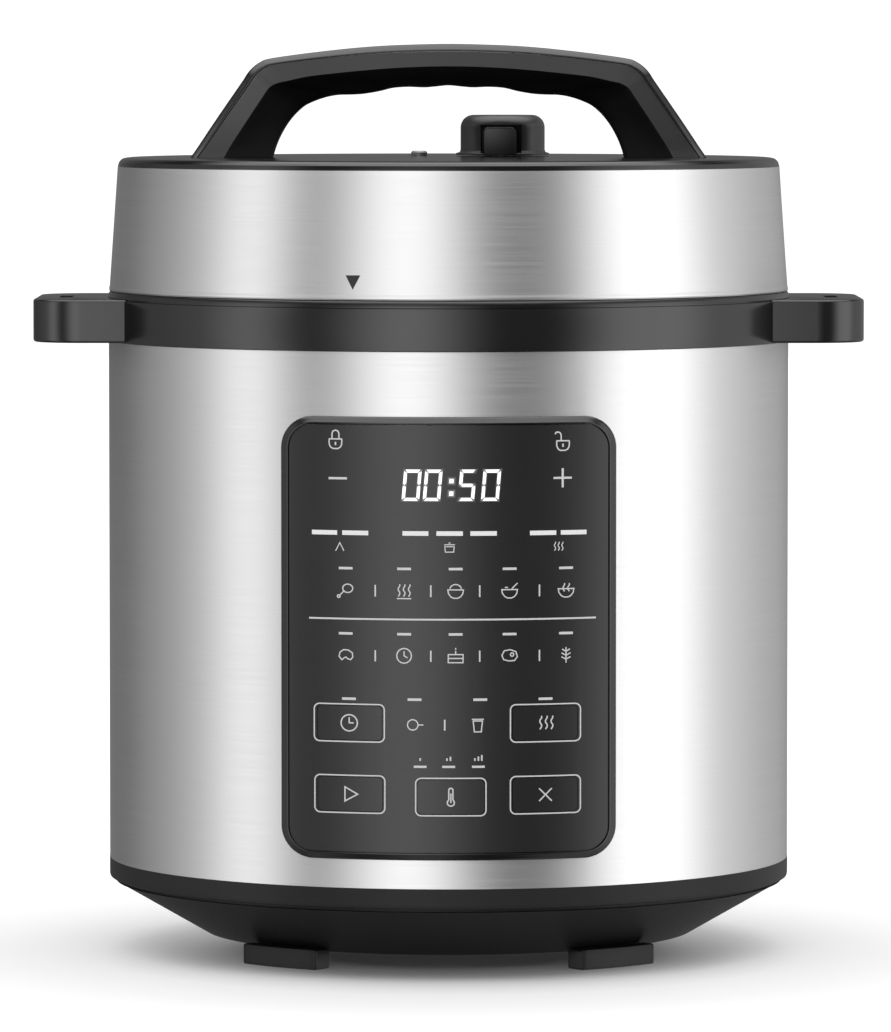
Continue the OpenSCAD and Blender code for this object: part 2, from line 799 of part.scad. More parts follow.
// Direction of a path at its point k.
function heading(p, k) =
  let (d = p[min(k + 1, len(p) - 1)] - p[max(k - 1, 0)]) d / norm(d);
function unit(v) = v / norm(v);

// A wire that follows a list of points.
module wire(pts, r) {
  loft([for (k = [0:len(pts) - 1])
    let (t = heading(pts, k), u = unit(cross(t, [0.31, 0.17, 0.93])), v = cross(t, u))
    [for (j = [0:7]) pts[k] + r * (u * cos(45 * j) + v * sin(45 * j))]]);
}

module wiring_harness() {
  color([0.75, 0.2, 0.15]) {
    wire([[-7, 105.9, 49], [-7, 98, 48.6], [-20, 70, 40], [-45, 34, 32], [-51, 22, 30],
      [-51, 15.1, 30]], 1.3);
    wire([[7, 105.9, 49], [7, 98, 49], [0, 80, 50], [-30, 60, 50], [-50, 46, 50],
      [-53.6, 41.9, 52.6], [-53.6, 41.9, 56.8]], 1.3);
    wire([[0, -121.5, 62], [0, -118, 61.6], [0, -115, 58.6], [-5, -111, 50],
      [-25, -80, 38], [-36, -48, 32], [-36, -30.1, 32]], 1.4);
  }
}

outer_housing();
base_ring();
base_cover();
rubber_feet();
collar();
outer_pot();
bayonet_ring();
collar_screws();
panel_bezel();
panel_overlay();
display_board();
display_module();
status_leds();
tact_switches();
board_screws();
power_board();
board_components();
power_board_screws();
heating_plate();
heating_tube();
spring_plate();
spring_plate_nuts();
pressure_switch();
sensor_housing();
thermal_fuse();
power_inlet();
inlet_pins();
support_posts();
base_screws();
cup_bracket();
wiring_harness();
condensation_cup();
key_delay_start();
key_keep_warm();
key_start();
key_temp_set();
key_cancel();
thermal_sensor();
sensor_spring();
inner_pot();
sealing_ring();
lid_top_cover();
lid_band();
handle_cover();
handle_grip();
handle_screws();
inner_lid();
lid_screws();
ring_rack();
vent_pipe();
vent_nut();
anti_block_shield();
valve_weight();
steam_release_knob();
float_pin();
float_gasket();
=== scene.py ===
import json
import math

import bmesh
import bpy
from mathutils import Matrix, Vector


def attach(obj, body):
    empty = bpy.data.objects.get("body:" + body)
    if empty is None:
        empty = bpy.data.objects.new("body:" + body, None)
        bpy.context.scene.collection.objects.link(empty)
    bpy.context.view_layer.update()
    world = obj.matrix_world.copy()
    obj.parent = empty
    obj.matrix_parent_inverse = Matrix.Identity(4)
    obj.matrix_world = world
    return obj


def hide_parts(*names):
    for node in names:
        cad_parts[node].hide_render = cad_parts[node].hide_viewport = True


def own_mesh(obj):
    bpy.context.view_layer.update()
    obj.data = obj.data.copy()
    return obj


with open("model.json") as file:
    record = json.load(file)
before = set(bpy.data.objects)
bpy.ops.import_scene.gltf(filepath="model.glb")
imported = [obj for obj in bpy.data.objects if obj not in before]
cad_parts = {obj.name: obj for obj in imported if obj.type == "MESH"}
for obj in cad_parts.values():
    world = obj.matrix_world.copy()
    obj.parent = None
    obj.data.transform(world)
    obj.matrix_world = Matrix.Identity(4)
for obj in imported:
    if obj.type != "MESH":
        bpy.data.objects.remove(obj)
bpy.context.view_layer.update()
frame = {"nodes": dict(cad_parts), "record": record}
scene = bpy.context.scene
nodes = frame["nodes"]
# every size and place below is in millimetres or degrees, unless its comment says otherwise
MM = 0.001


# ------------------------------------------------------------------ node helpers
def new_mat(name):
    m = bpy.data.materials.new(name)
    m.use_nodes = True
    nt = m.node_tree
    bsdf = next(n for n in nt.nodes if n.type == "BSDF_PRINCIPLED")
    return m, nt, bsdf


def noise(nt, vector, scale, detail, rough):
    nz = nt.nodes.new("ShaderNodeTexNoise")
    nz.inputs["Scale"].default_value = scale
    nz.inputs["Detail"].default_value = detail
    nz.inputs["Roughness"].default_value = rough
    nt.links.new(vector, nz.inputs["Vector"])
    return nz.outputs["Fac"]


def coordinates(nt, kind):
    return nt.nodes.new("ShaderNodeTexCoord").outputs[kind]


def split(nt, vector):
    sep = nt.nodes.new("ShaderNodeSeparateXYZ")
    nt.links.new(vector, sep.inputs["Vector"])
    return sep.outputs


def maths(nt, operation, a, b):
    """The output of a maths node; a is a socket, b a socket or a number."""
    n = nt.nodes.new("ShaderNodeMath")
    n.operation = operation
    nt.links.new(a, n.inputs[0])
    if isinstance(b, float):
        n.inputs[1].default_value = b
    else:
        nt.links.new(b, n.inputs[1])
    return n.outputs[0]


def spread(nt, src, lowest, highest):
    """Bring a range of values to 0 to 1."""
    mr = nt.nodes.new("ShaderNodeMapRange")
    mr.inputs["From Min"].default_value = lowest
    mr.inputs["From Max"].default_value = highest
    nt.links.new(src, mr.inputs["Value"])
    return mr.outputs["Result"]


def ramp(nt, src, stops, ease=False):
    """A colour ramp through (place, grey or colour) stops."""
    cr = nt.nodes.new("ShaderNodeValToRGB")
    cr.color_ramp.interpolation = "EASE" if ease else "LINEAR"
    el = cr.color_ramp.elements
    for i, (place, c) in enumerate(stops):
        e = el[i] if i < 2 else el.new(place)
        e.position = place
        e.color = (c, c, c, 1) if isinstance(c, (int, float)) else (*c, 1)
    nt.links.new(src, cr.inputs["Fac"])
    return cr.outputs["Color"]


def mix(nt, factor, a, b, blend="MIX"):
    """Mix socket a with b, a socket or a grey; the factor is a socket or a number."""
    n = nt.nodes.new("ShaderNodeMix")
    n.data_type = "RGBA"
    n.blend_type = blend
    if isinstance(factor, float):
        n.inputs["Factor"].default_value = factor
    else:
        nt.links.new(factor, n.inputs["Factor"])
    nt.links.new(a, n.inputs["A"])
    if isinstance(b, float):
        n.inputs["B"].default_value = (b, b, b, 1)
    else:
        nt.links.new(b, n.inputs["B"])
    return n.outputs["Result"]


def add_bump(nt, bsdf, height, strength, distance):
    bp = nt.nodes.new("ShaderNodeBump")
    bp.inputs["Strength"].default_value = strength
    bp.inputs["Distance"].default_value = distance
    nt.links.new(height, bp.inputs["Height"])
    nt.links.new(bp.outputs["Normal"], bsdf.inputs["Normal"])


# ------------------------------------------------------------------ materials
GRAIN_SCALE = 900.0
# lines of brushing: how fast the noise runs with height, and how slowly round the axis
BRUSH_HEIGHT = 2400.0
BRUSH_ANGLE = 1.6


def plastic(name, color, rough=0.4, spec=0.5, grain=0.02, ior=1.5, coat=0.0):
    m, nt, b = new_mat(name)
    b.inputs["IOR"].default_value = ior
    b.inputs["Specular IOR Level"].default_value = spec
    b.inputs["Coat Weight"].default_value = coat
    b.inputs["Coat Roughness"].default_value = 0.12
    where = coordinates(nt, "Object")
    tone = ramp(nt, noise(nt, where, 14.0, 3.0, 0.55), [(0.35, [c * 0.93 for c in color]),
                                                        (0.65, [c * 1.07 for c in color])])
    nt.links.new(tone, b.inputs["Base Color"])
    fine = noise(nt, where, GRAIN_SCALE, 3.0, 0.6)
    nt.links.new(ramp(nt, fine, [(0.3, rough * 0.92), (0.7, rough * 1.08)]), b.inputs["Roughness"])
    add_bump(nt, b, fine, grain, 0.0002)
    return m


def metal(name, color, rough=0.25, aniso=0.0, brushed=False, bump=0.02):
    """A brushed metal has lines that run round the Z axis."""
    m, nt, b = new_mat(name)
    b.inputs["Metallic"].default_value = 1.0
    b.inputs["Anisotropic"].default_value = aniso
    b.inputs["Anisotropic Rotation"].default_value = 0.25
    where = coordinates(nt, "Object")
    if brushed:
        x, y, z = split(nt, where)
        lines = nt.nodes.new("ShaderNodeCombineXYZ")
        angle = maths(nt, "ARCTAN2", y, x)
        nt.links.new(maths(nt, "MULTIPLY", angle, BRUSH_ANGLE), lines.inputs["X"])
        nt.links.new(maths(nt, "MULTIPLY", z, BRUSH_HEIGHT), lines.inputs["Z"])
        fine = noise(nt, lines.outputs["Vector"], 1.0, 6.0, 0.65)
    else:
        fine = noise(nt, where, 220.0, 5.0, 0.6)
    tone = ramp(nt, fine, [(0.3, [c * 0.97 for c in color]),
                           (0.7, [min(1.0, c * 1.03) for c in color])])
    nt.links.new(tone, b.inputs["Base Color"])
    nt.links.new(ramp(nt, fine, [(0.3, rough * 0.85), (0.7, rough * 1.15)]), b.inputs["Roughness"])
    add_bump(nt, b, fine, bump, 0.0001)
    return m


def glow(name, color, strength):
    m, nt, b = new_mat(name)
    b.inputs["Base Color"].default_value = (*color, 1)
    b.inputs["Roughness"].default_value = 0.45
    b.inputs["Emission Color"].default_value = (*color, 1)
    b.inputs["Emission Strength"].default_value = strength
    return m


# colour, roughness, specular level, grain, index of refraction, coat
PLASTICS = {
    "base": ((0.0205, 0.0205, 0.0208), 0.38, 0.18, 0.04),
    "feet": ((0.004, 0.004, 0.004), 0.5, 0.5, 0.1),
    "collar": ((0.002, 0.002, 0.0022), 0.2, 1.0, 0.02, 1.51),
    "lid_black": ((0.003, 0.003, 0.0032), 0.17, 1.0, 0.02),
    "grip": ((0.002, 0.002, 0.0022), 0.32, 1.0, 0.04),
    # a darker, duller copy of the black plastic, laid where shade falls: painted shade
    "painted_shade_black": ((0.0012, 0.0012, 0.0013), 0.55, 0.25, 0.06),
    "knob": ((0.0165, 0.0165, 0.0168), 0.38, 0.9, 0.02),
    "bezel": ((0.003, 0.003, 0.0032), 0.2, 1.0, 0.01),
    "overlay": ((0.008, 0.008, 0.0083), 0.3, 0.85, 0.01),
    "pcb": ((0.01, 0.09, 0.03), 0.3, 0.5, 0.02),
    "wire": ((0.3, 0.02, 0.015), 0.4),
    "cup": ((0.05, 0.053, 0.056), 0.16, 0.5, 0.0, 1.5, 0.3),
    "silicone": ((0.62, 0.6, 0.56), 0.55, 0.3, 0.05),
    "silicone_red": ((0.4, 0.05, 0.03), 0.5, 0.3, 0.05),
    "mark": ((0.03, 0.03, 0.032), 0.5, 0.3, 0.0),
}
# colour, roughness, anisotropy, brushed or not, bump
METALS = {
    "steel": ((0.92, 0.92, 0.92), 0.38, 0.5, True, 0.007),
    "inner_steel": ((0.6, 0.6, 0.61), 0.32),
    "pot_steel": ((0.72, 0.72, 0.73), 0.22, 0.4, True, 0.01),
    "screw_steel": ((0.62, 0.62, 0.64), 0.3),
    "alu": ((0.7, 0.7, 0.71), 0.38, 0.0, False, 0.08),
    "brass": ((0.72, 0.6, 0.36), 0.3),
    "float": ((0.3, 0.3, 0.3), 0.5),
}
# colour, strength of the light
GLOWS = {
    "led": ((0.9, 0.9, 0.88), 0.0),
    # printed marks glow a little, though they are no lamp: painted light
    "print_painted_glow": ((0.5, 0.5, 0.5), 0.18),
    "print_bright": ((0.6, 0.6, 0.6), 0.3),
    "digit": ((0.9, 0.9, 0.9), 0.75),
    "halo_in": ((0.25, 0.25, 0.25), 0.3),
    "halo_mid": ((0.12, 0.12, 0.12), 0.35),
    "halo_out": ((0.05, 0.05, 0.05), 0.45),
}
M = {}
for make, table in ((plastic, PLASTICS), (metal, METALS), (glow, GLOWS)):
    for name, settings in table.items():
        M[name] = make(name, *settings)

BY_SLOT = {
    "steel": "steel", "base_black": "base", "feet_black": "feet", "collar_black": "collar",
    "lid_black": "lid_black", "knob_black": "knob", "panel_black": "bezel",
    "panel_gloss": "overlay", "inner_steel": "inner_steel", "pot_steel": "pot_steel",
    "screw_steel": "screw_steel", "cast_alu": "alu", "pcb": "pcb", "led_white": "led",
    "brass_pin": "brass", "wire_red": "wire", "cup_grey": "cup", "silicone": "silicone",
    "silicone_red": "silicone_red",
}
for part in frame["record"]["subparts"]:
    node = part["node"]
    surface = "float" if node == "float_pin" else BY_SLOT[part["material_slot"]]
    nodes[node].data.materials.clear()
    nodes[node].data.materials.append(M[surface])


# ------------------------------------------------------------------ shape helpers
def link(me, name, mat, body, smooth=None):
    o = bpy.data.objects.new(name, me)
    scene.collection.objects.link(o)
    me.materials.append(mat)
    if smooth:
        me.polygons.foreach_set("use_smooth", [True] * len(me.polygons))
        me.set_sharp_from_angle(angle=math.radians(smooth))
    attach(o, body)
    return o


def mesh_of(bm, name):
    me = bpy.data.meshes.new(name)
    bm.to_mesh(me)
    bm.free()
    return me


def lathe(name, pts, mat, body, steps, center, smooth):
    """A closed outline of (r, z) points, turned about a vertical axis."""
    bm = bmesh.new()
    rings = []
    for r, z in pts:
        turns = [2 * math.pi * k / steps for k in range(steps if r > 0 else 1)]
        rings.append([bm.verts.new(((center[0] + r * math.cos(a)) * MM,
                                    (center[1] + r * math.sin(a)) * MM, z * MM)) for a in turns])
    for i, a in enumerate(rings):
        b = rings[(i + 1) % len(rings)]
        if len(a) == 1 and len(b) == 1:
            continue
        for k in range(steps):
            k2 = (k + 1) % steps
            if len(a) == 1:
                bm.faces.new((a[0], b[k2], b[k]))
            elif len(b) == 1:
                bm.faces.new((a[k], a[k2], b[0]))
            else:
                bm.faces.new((a[k], a[k2], b[k2], b[k]))
    bmesh.ops.recalc_face_normals(bm, faces=bm.faces)
    return link(mesh_of(bm, name), name, mat, body, smooth)


def arc(cx, cz, r, a0, a1, n, rz=None):
    """Points along an arc of a circle, or of an ellipse rz high."""
    turns = [math.radians(a0 + (a1 - a0) * k / n) for k in range(n + 1)]
    return [(cx + r * math.cos(a), cz + (rz or r) * math.sin(a)) for a in turns]


def circle(cx, cz, r, n, rz=None):
    return arc(cx, cz, r, 0, 360, n, rz)[:-1]


def rounded(cx, cy, w, h, r, seg):
    """The outline of a rectangle with round corners."""
    pts = []
    for sx, sy, a0 in ((1, 1, 0), (-1, 1, 90), (-1, -1, 180), (1, -1, 270)):
        pts += arc(cx + sx * (w / 2 - r), cy + sy * (h / 2 - r), r, a0, a0 + 90, seg)
    return pts


def catmull(pts, sub):
    """A smooth line through points of any dimension."""
    out = []
    last = len(pts) - 1
    for i in range(last):
        p0, p1, p2, p3 = pts[max(i - 1, 0)], pts[i], pts[i + 1], pts[min(i + 2, last)]
        for k in range(sub):
            t = k / sub
            out.append([0.5 * (2 * b + (c - a) * t + (2 * a - 5 * b + 4 * c - d) * t * t
                               + (3 * b - a - 3 * c + d) * t ** 3)
                        for a, b, c, d in zip(p0, p1, p2, p3)])
    out.append(list(pts[last]))
    return out


def loft(name, loops, mat, body, smooth, closed=False):
    """Skin a list of equal loops of (x, y, z) points; a closed one has no ends."""
    bm = bmesh.new()
    vs = [[bm.verts.new([c * MM for c in p]) for p in lp] for lp in loops]
    n = len(loops[0])
    for i in range(len(vs) if closed else len(vs) - 1):
        a, b = vs[i], vs[(i + 1) % len(vs)]
        for k in range(n):
            bm.faces.new((a[k], a[(k + 1) % n], b[(k + 1) % n], b[k]))
    if not closed:
        bm.faces.new(list(reversed(vs[0])))
        bm.faces.new(vs[-1])
    bmesh.ops.recalc_face_normals(bm, faces=bm.faces)
    return link(mesh_of(bm, name), name, mat, body, smooth)


def carve(o, boxes):
    """Cut boxes, given as (low corner, high corner), out of a piece."""
    bm = bmesh.new()
    for low, high in boxes:
        size = [(b - a) * MM for a, b in zip(low, high)]
        middle = [(a + b) / 2 * MM for a, b in zip(low, high)]
        bmesh.ops.create_cube(bm, size=1.0,
                              matrix=Matrix.Translation(middle) @ Matrix.Diagonal(size + [1]))
    me = mesh_of(bm, "cutter")
    cutter = bpy.data.objects.new("cutter", me)
    scene.collection.objects.link(cutter)
    md = o.modifiers.new("cut", "BOOLEAN")
    md.operation = "DIFFERENCE"
    md.object = cutter
    md.solver = "EXACT"
    md.use_self = True
    bpy.context.view_layer.update()
    new = bpy.data.meshes.new_from_object(o.evaluated_get(bpy.context.evaluated_depsgraph_get()))
    o.modifiers.clear()
    old = o.data
    o.data = new
    bpy.data.meshes.remove(old)
    bpy.data.objects.remove(cutter)
    bpy.data.meshes.remove(me)
    return o


def join(objs, name):
    """One object out of several meshes that ride on the same body."""
    bm = bmesh.new()
    for o in objs:
        bm.from_mesh(o.data)
    me = mesh_of(bm, name)
    keep = objs[0]
    for m in keep.data.materials:
        me.materials.append(m)
    me.set_sharp_from_angle(angle=math.radians(35))
    old = keep.data
    keep.data = me
    bpy.data.meshes.remove(old)
    for o in objs[1:]:
        bpy.data.objects.remove(o)
    keep.name = name
    return keep


class Print:
    """Flat marks in (x, z), laid on a cylinder about the Z axis."""

    # a long mark is split into spans that follow the curve
    SPAN = 2.5
    # the sharpest corner that a stroke still mitres
    MITRE = 0.45

    def __init__(self, radius):
        self.radius = radius
        self.polys = []

    def poly(self, pts):
        self.polys.append([tuple(p) for p in pts])

    def rect(self, x0, z0, x1, z1):
        n = max(1, int(math.ceil(abs(x1 - x0) / self.SPAN)))
        for k in range(n):
            a, b = x0 + (x1 - x0) * k / n, x0 + (x1 - x0) * (k + 1) / n
            self.poly([(a, z0), (b, z0), (b, z1), (a, z1)])

    def dash(self, x, z, w, h):
        """A rectangle from its middle."""
        self.rect(x - w / 2, z - h / 2, x + w / 2, z + h / 2)

    def stroke(self, pts, w, closed=False):
        pts = [Vector(p) for p in pts]
        n = len(pts)
        left, right = [], []
        for i in range(n):
            before = pts[(i - 1) % n] if (closed or i > 0) else pts[i]
            after = pts[(i + 1) % n] if (closed or i < n - 1) else pts[i]
            d1 = pts[i] - before
            d2 = after - pts[i]
            d1 = d1.normalized() if d1.length > 0 else d2.normalized()
            d2 = d2.normalized() if d2.length > 0 else d1
            t = (d1 + d2).normalized()
            across = Vector((-t.y, t.x))
            m = (w / 2) / max(self.MITRE, across.dot(Vector((-d1.y, d1.x))))
            left.append(pts[i] + across * m)
            right.append(pts[i] - across * m)
        for i in range(n if closed else n - 1):
            j = (i + 1) % n
            spans = max(1, int(math.ceil((pts[j] - pts[i]).length / self.SPAN)))
            for q in range(spans):
                a, b = q / spans, (q + 1) / spans
                self.poly([left[i].lerp(left[j], a), left[i].lerp(left[j], b),
                           right[i].lerp(right[j], b), right[i].lerp(right[j], a)])

    def icon(self, strokes, x, z, size, w):
        """A pictogram whose strokes are drawn on a ten by ten grid; an "o" closes a stroke."""
        for st in strokes:
            closed = st[0] == "o"
            pts = [(x + p[0] * size / 10, z + p[1] * size / 10) for p in (st[1:] if closed else st)]
            self.stroke(pts, w, closed)

    def build(self, name, mat, body, turn=0.0):
        bm = bmesh.new()
        for pl in self.polys:
            vs = []
            for x, z in pl:
                r = self.radius(z) if callable(self.radius) else self.radius
                a = math.asin(x / r) + turn
                vs.append(bm.verts.new((r * math.sin(a) * MM, -r * math.cos(a) * MM, z * MM)))
            f = bm.faces.new(vs)
            f.normal_update()
            if f.normal.y > 0:
                f.normal_flip()
        return link(mesh_of(bm, name), name, mat, body)


# ------------------------------------------------------------------ lid handle
# from the lid up the right leg to the middle:
# outer edge x, z; crease x, z; inner edge x, z; half depth
HANDLE = [
    (100, 307.9, 86.8, 307.9, 68.5, 307.9, 24),
    (97.2, 312, 85, 311.2, 67.4, 311.5, 23),
    (93.9, 317, 82.5, 315.2, 65.8, 315.4, 22),
    (90.3, 322.4, 79.4, 320, 63.5, 319.6, 21),
    (86.2, 328.4, 76, 325.2, 60.9, 323.2, 20.2),
    (82, 334.5, 72.4, 330.6, 58.2, 326, 19.5),
    (79.6, 338, 70.3, 333.8, 55, 328.4, 19.1),
    (77.8, 340.8, 69, 335.2, 49, 330.8, 18.9),
    (75.5, 343.2, 67.3, 336.2, 43.5, 332, 18.7),
    (73, 344.9, 65.2, 336.9, 38, 332.2, 18.6),
    (70, 346.1, 62.3, 337.5, 33, 332.5, 18.5),
    (61, 347.5, 55, 339.1, 27, 333.5, 18.3),
    (50, 348.9, 45, 340.3, 21.5, 334.8, 18.1),
    (37, 350.3, 34, 341.4, 15.5, 335.2, 18),
    (25, 351.2, 23, 342.3, 9.5, 335, 18),
    (12, 351.7, 11, 342.9, 4.5, 335.4, 18),
    (0, 351.9, 0, 343.1, 0, 335.8, 18),
]
LEFT = [[-r[0], r[1], -r[2], r[3], -r[4], r[5], r[6]] for r in HANDLE]
RIGHT = [list(r) for r in reversed(HANDLE[:-1])]
STATIONS = catmull(LEFT + RIGHT, 5)
# the flat on top of the cover, as a share of the half depth
TOP_FLAT = 0.34
# the cover's rounded front: (down from the outer edge, in from the full depth)
COVER = [(0, 4.4), (0.08, 3.6), (0.25, 3.1), (0.5, 2.75), (1.1, 2.25), (1.8, 1.72), (2.45, 1.3),
         (2.68, 1.3), (2.8, 1.5), (2.85, 2.0)]
# the grip's edge beside the groove, in the same terms, and where its front face begins
GRIP_EDGE = [(2.9, 1.9), (2.95, 1.0), (3.1, 0.66)]
FACE_START, FACE_SHARE, FACE_IN = 4.2, 0.62, 0.5
# the crease: (back up from it, in from the full depth)
CREASE = [(0.6, 0.1), (0.15, 0.04)]
# the sloping underside: (share of the way to the inner edge, in from the full depth)
SLOPE = [(0.015, 0.22), (0.08, 1.1), (0.35, 4.6), (0.62, 7.4), (0.86, 9.4), (0.96, 10.9), (1, 13.0)]


def step_to(a, b, d):
    return a + (b - a).normalized() * d


def cover_rows(outer, crease, inner, w):
    return [(outer, TOP_FLAT * w)] + [(step_to(outer, crease, d), w - s) for d, s in COVER]


def grip_rows(outer, crease, inner, w):
    start = min(FACE_START, (crease - outer).length * FACE_SHARE)
    rows = [(step_to(outer, crease, d), w - s) for d, s in GRIP_EDGE + [(start, FACE_IN)]]
    rows += [(step_to(crease, outer, d), w - s) for d, s in CREASE]
    return rows + [(crease.lerp(inner, share), w - s) for share, s in SLOPE]


def handle_piece(name, rows_of, mat, smooth):
    """Rows of (place in the front view, half depth) at every station, mirrored to the back."""
    loops = []
    for ox, oz, cx, cz, ix, iz, w in STATIONS:
        rows = rows_of(Vector((ox, oz)), Vector((cx, cz)), Vector((ix, iz)), w)
        loops.append([(p.x, -y, p.y) for p, y in rows] + [(p.x, y, p.y) for p, y in reversed(rows)])
    return loft(name, loops, mat, "lid", smooth)


cover = handle_piece("handle_cover_shell", cover_rows, M["collar"], 50)
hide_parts("handle_cover")
grip = handle_piece("handle_grip_shell", grip_rows, M["grip"], 24)
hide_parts("handle_grip")
# the inside of the groove and the sloping underside get a darker, duller copy of the grip's plastic:
# painted shade
grip.data.materials.append(M["painted_shade_black"])
around = 2 * (len(GRIP_EDGE) + 1 + len(CREASE) + len(SLOPE))
underside = len(GRIP_EDGE) + len(CREASE)
for face in grip.data.polygons:
    # the strip's number, the same on the front and on the back
    strip = min(face.index % around, around - 2 - face.index % around)
    is_end = face.index >= around * (len(STATIONS) - 1)
    if not is_end and (strip < 1 or strip >= underside):
        face.material_index = 1

# ------------------------------------------------------------------ steam release knob
KNOB_X, KNOB_Y = 21.4, 45.0
KNOB_Z0, KNOB_Z1 = 308.2, 324.0
KNOB_R, KNOB_BORE, KNOB_ROOF = 16.65, 8.25, 319.9
KNOB_ROUND = 5.0
KNOB_BODY = ([(KNOB_BORE, KNOB_Z0), (18.4, KNOB_Z0)] + arc(18.0, KNOB_Z0 + 0.5, 0.4, -20, 90, 3)
             + [(17.3, 309.2), (16.85, 309.6), (KNOB_R, 310.4), (KNOB_R, 319.2)]
             + arc(KNOB_R - KNOB_ROUND, 319.0, KNOB_ROUND, 0, 86, 14)
             + [(10.0, KNOB_Z1), (4.0, KNOB_Z1), (0, KNOB_Z1), (0, KNOB_ROOF), (KNOB_BORE, KNOB_ROOF)])
# the tab stands in a shallow recess, and its face is slightly bowed
RECESS = ((KNOB_X - 8.8, KNOB_Y - 30, 309.0), (KNOB_X + 7.3, KNOB_Y - 11.4, 320.2))
TAB_X, TAB_HALF = KNOB_X - 1.35, 6.6
TAB_BACK, TAB_FRONT, TAB_BOW = -9.0, -23.9, 38.0
# its front corners: (in from the side, back from the front), then where the bow begins
TAB_CORNER = [(0, 1.8), (0.1, 1.3)]
TAB_BOW_IN, TAB_BOW_STEPS = 0.6, 8
# up the tab: (z, front moved back, sides moved in)
TAB_ROWS = [(308.4, 0.2, 0.2), (308.8, 0, 0), (317.1, 0, 0), (317.8, 0.02, 0.12), (318.4, 0.06, 0.45),
            (318.9, 0.14, 1.0), (319.2, 0.3, 1.5), (319.3, 0.7, 2.2)]


def tab_outline(back, side):
    w = TAB_HALF - side
    (in0, back0), (in1, back1) = TAB_CORNER
    pts = [(w, TAB_BACK), (-w, TAB_BACK), (in0 - w, TAB_FRONT + back0),
           (in1 - w, TAB_FRONT + back1 + back)]
    for k in range(-TAB_BOW_STEPS, TAB_BOW_STEPS + 1):
        x = (w - TAB_BOW_IN) * k / TAB_BOW_STEPS
        pts.append((x, TAB_FRONT + back + TAB_BOW - math.sqrt(TAB_BOW ** 2 - x * x)))
    pts += [(w - in1, TAB_FRONT + back1 + back), (w - in0, TAB_FRONT + back0)]
    return [(TAB_X + x, KNOB_Y + y) for x, y in pts]


def in_recess(p):
    near = 0.02
    return all(a - near < c / MM < b + near for a, c, b in zip(RECESS[0], p, RECESS[1]))


body = lathe("knob_body", KNOB_BODY, M["knob"], "steam_release_knob", 120,
             (KNOB_X, KNOB_Y), 40)
carve(body, [RECESS])
tab_loops = [[(x, y, z) for x, y in tab_outline(back, side)] for z, back, side in TAB_ROWS]
tab = loft("knob_tab", tab_loops, M["knob"], "steam_release_knob", 45)
# the recess and the tab's flanks, which face more than 33 degrees sideways, get the darker, duller
# plastic: painted shade
FLANK = 0.55
body.data.materials.append(M["painted_shade_black"])
for face in body.data.polygons:
    if in_recess(face.center):
        face.material_index = 1
for face in tab.data.polygons:
    if abs(face.normal.x) > FLANK:
        face.material_index = 1
knob = join([body, tab], "steam_knob")
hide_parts("steam_release_knob")

# ------------------------------------------------------------------ side handles and collar
# the ring's section, from the lip that holds the pot liner out to the groove under the lid's band
COLLAR_RING = ([(120, 236.7), (128.4, 236.7), (128.4, 228), (131.4, 228), (131.4, 236.7)]
               + arc(132.8, 237.1, 0.4, -90, 0, 3)
               + [(133.2, 252.6), (133.1, 252.9), (132.9, 253.0), (132.25, 253.1), (132.25, 253.6),
                  (132.85, 253.7), (132.8, 253.9), (132.45, 255.2), (132.1, 255.7), (131.7, 255.9),
                  (127.9, 255.9), (127.6, 255.6), (127.6, 239.2), (120, 239.2)])
EAR_HALF, EAR_TIP, EAR_CORNER, EAR_ROOT = 47.0, 160.6, 19.0, 131.2
# up the side handle: (z, outline drawn in)
EAR_ROWS = [(237.0, 0.9), (237.2, 0.4), (237.6, 0.1), (238.1, 0.0), (252.6, 0.0), (253.05, 0.1),
            (253.35, 0.35), (253.5, 0.8)]
# cut out of it: (middle x, half length, half width, bottom, top) of the slot and of the finger hollow
EAR_CUTS = [(149, 2.5, 12, 243, 260), (148, 8.5, 38, 230, 247)]


def ear_outline(d):
    half, tip, r = EAR_HALF - d, EAR_TIP - d, EAR_CORNER - d
    root = math.degrees(math.asin(half / EAR_ROOT))
    return (arc(0, 0, EAR_ROOT, root, -root, 14) + arc(tip - r, r - half, r, -90, 0, 16)
            + arc(tip - r, half - r, r, 0, 90, 16))


def ear(side):
    loops = [[(side * x, y, z) for x, y in ear_outline(d)] for z, d in EAR_ROWS]
    o = loft("ear", loops, M["collar"], "base", 30)
    return carve(o, [((side * x - dx, -dy, z0), (side * x + dx, dy, z1))
                     for x, dx, dy, z0, z1 in EAR_CUTS])


collar_ring = lathe("collar_ring", COLLAR_RING, M["collar"], "base", 240, (0, 0), 30)
collar = join([collar_ring, ear(-1), ear(1)], "collar_shell")
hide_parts("collar")

# ------------------------------------------------------------------ feet
FOOT_AT = (51.5, 128.5, 231.5, 308.5)
FOOT_R0, FOOT_R1, FOOT_HALF, FOOT_STEP = 97.0, 105.5, 18.0, 2.2
# near its ends: (distance from the end, outline drawn in)
FOOT_ENDS = [(0.0, 0.6), (0.2, 0.2), (0.6, 0.0)]
NECK = [(92.6, 1.6), (97.4, 1.6), (97.4, 7.0), (95.3, 6.1), (92.6, 5.4)]


def foot_section(u, d):
    """The section at a distance u along the foot, as (r, z) from the body's axis."""
    outer, inner = math.sqrt(FOOT_R1 ** 2 - u * u) - d, math.sqrt(FOOT_R0 ** 2 - u * u) + d
    return [(inner + 0.6, d), (outer - 0.6, d), (outer - 0.15, 0.15 + d), (outer, 0.6 + d),
            (outer, 7.3 - d), (outer - 0.15, 7.6 - d), (outer - 0.5, 7.75 - d), (98.2, 7.7 - d),
            (inner, 7.0 - d), (inner, 0.6 + d), (inner + 0.15, 0.15 + d)]


